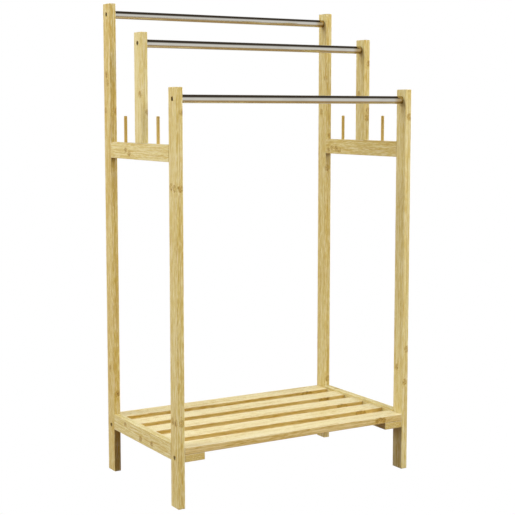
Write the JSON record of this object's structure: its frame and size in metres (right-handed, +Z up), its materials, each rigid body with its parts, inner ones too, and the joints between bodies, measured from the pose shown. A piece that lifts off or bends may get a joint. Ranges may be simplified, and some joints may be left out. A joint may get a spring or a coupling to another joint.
{
  "type": "towel rack",
  "caption": "Free-standing stepped towel rack: bamboo side frames with pegs, steel towel bars at rising heights, and a slatted shelf near the floor.",
  "frame": {"origin": "centre of the footprint, on the floor", "axes": "+Z up, -Y towards the front (the low bar), +X to the right as seen from the front"},
  "size_m": [0.504, 0.3, 0.9],
  "materials": {
    "bamboo_frame": "clear-lacquered laminated bamboo, satin",
    "bamboo_shelf": "clear-lacquered laminated bamboo, satin",
    "bamboo_cleat": "clear-lacquered laminated bamboo, satin",
    "bamboo_peg": "turned bamboo rod, satin",
    "dowel_wood": "raw fluted wood, hidden",
    "polished_steel": "polished stainless tube",
    "zinc_steel": "zinc-plated",
    "bar_insert": "black moulded"
  },
  "bodies": {
    "root": {"back_bar_bolt_left": "zinc_steel", "back_bar_bolt_right": "zinc_steel", "back_bar_insert_left": "bar_insert", "back_bar_insert_right": "bar_insert", "back_towel_bar": "polished_steel", "front_bar_bolt_left": "zinc_steel", "front_bar_bolt_right": "zinc_steel", "front_bar_insert_left": "bar_insert", "front_bar_insert_right": "bar_insert", "front_towel_bar": "polished_steel", "left_back_peg": "bamboo_peg", "left_back_post": "bamboo_frame", "left_back_shelf_screw": "zinc_steel", "left_front_peg": "bamboo_peg", "left_front_post": "bamboo_frame", "left_front_shelf_screw": "zinc_steel", "left_lower_rail": "bamboo_frame", "left_lower_rail_back_dowel": "dowel_wood", "left_lower_rail_front_dowel": "dowel_wood", "left_middle_post": "bamboo_frame", "left_middle_post_dowel": "dowel_wood", "left_shelf_cleat": "bamboo_cleat", "left_upper_rail": "bamboo_frame", "left_upper_rail_back_dowel": "dowel_wood", "left_upper_rail_front_dowel": "dowel_wood", "middle_bar_bolt_left": "zinc_steel", "middle_bar_bolt_right": "zinc_steel", "middle_bar_insert_left": "bar_insert", "middle_bar_insert_right": "bar_insert", "middle_towel_bar": "polished_steel", "right_back_peg": "bamboo_peg", "right_back_post": "bamboo_frame", "right_back_shelf_screw": "zinc_steel", "right_front_peg": "bamboo_peg", "right_front_post": "bamboo_frame", "right_front_shelf_screw": "zinc_steel", "right_lower_rail": "bamboo_frame", "right_lower_rail_back_dowel": "dowel_wood", "right_lower_rail_front_dowel": "dowel_wood", "right_middle_post": "bamboo_frame", "right_middle_post_dowel": "dowel_wood", "right_shelf_cleat": "bamboo_cleat", "right_upper_rail": "bamboo_frame", "right_upper_rail_back_dowel": "dowel_wood", "right_upper_rail_front_dowel": "dowel_wood", "shelf_slat_1": "bamboo_shelf", "shelf_slat_2": "bamboo_shelf", "shelf_slat_3": "bamboo_shelf", "shelf_slat_4": "bamboo_shelf", "shelf_slat_5": "bamboo_shelf", "slat_screw_left_1": "zinc_steel", "slat_screw_left_2": "zinc_steel", "slat_screw_left_3": "zinc_steel", "slat_screw_left_4": "zinc_steel", "slat_screw_left_5": "zinc_steel", "slat_screw_right_1": "zinc_steel", "slat_screw_right_2": "zinc_steel", "slat_screw_right_3": "zinc_steel", "slat_screw_right_4": "zinc_steel", "slat_screw_right_5": "zinc_steel"}
  },
  "joints": []
}
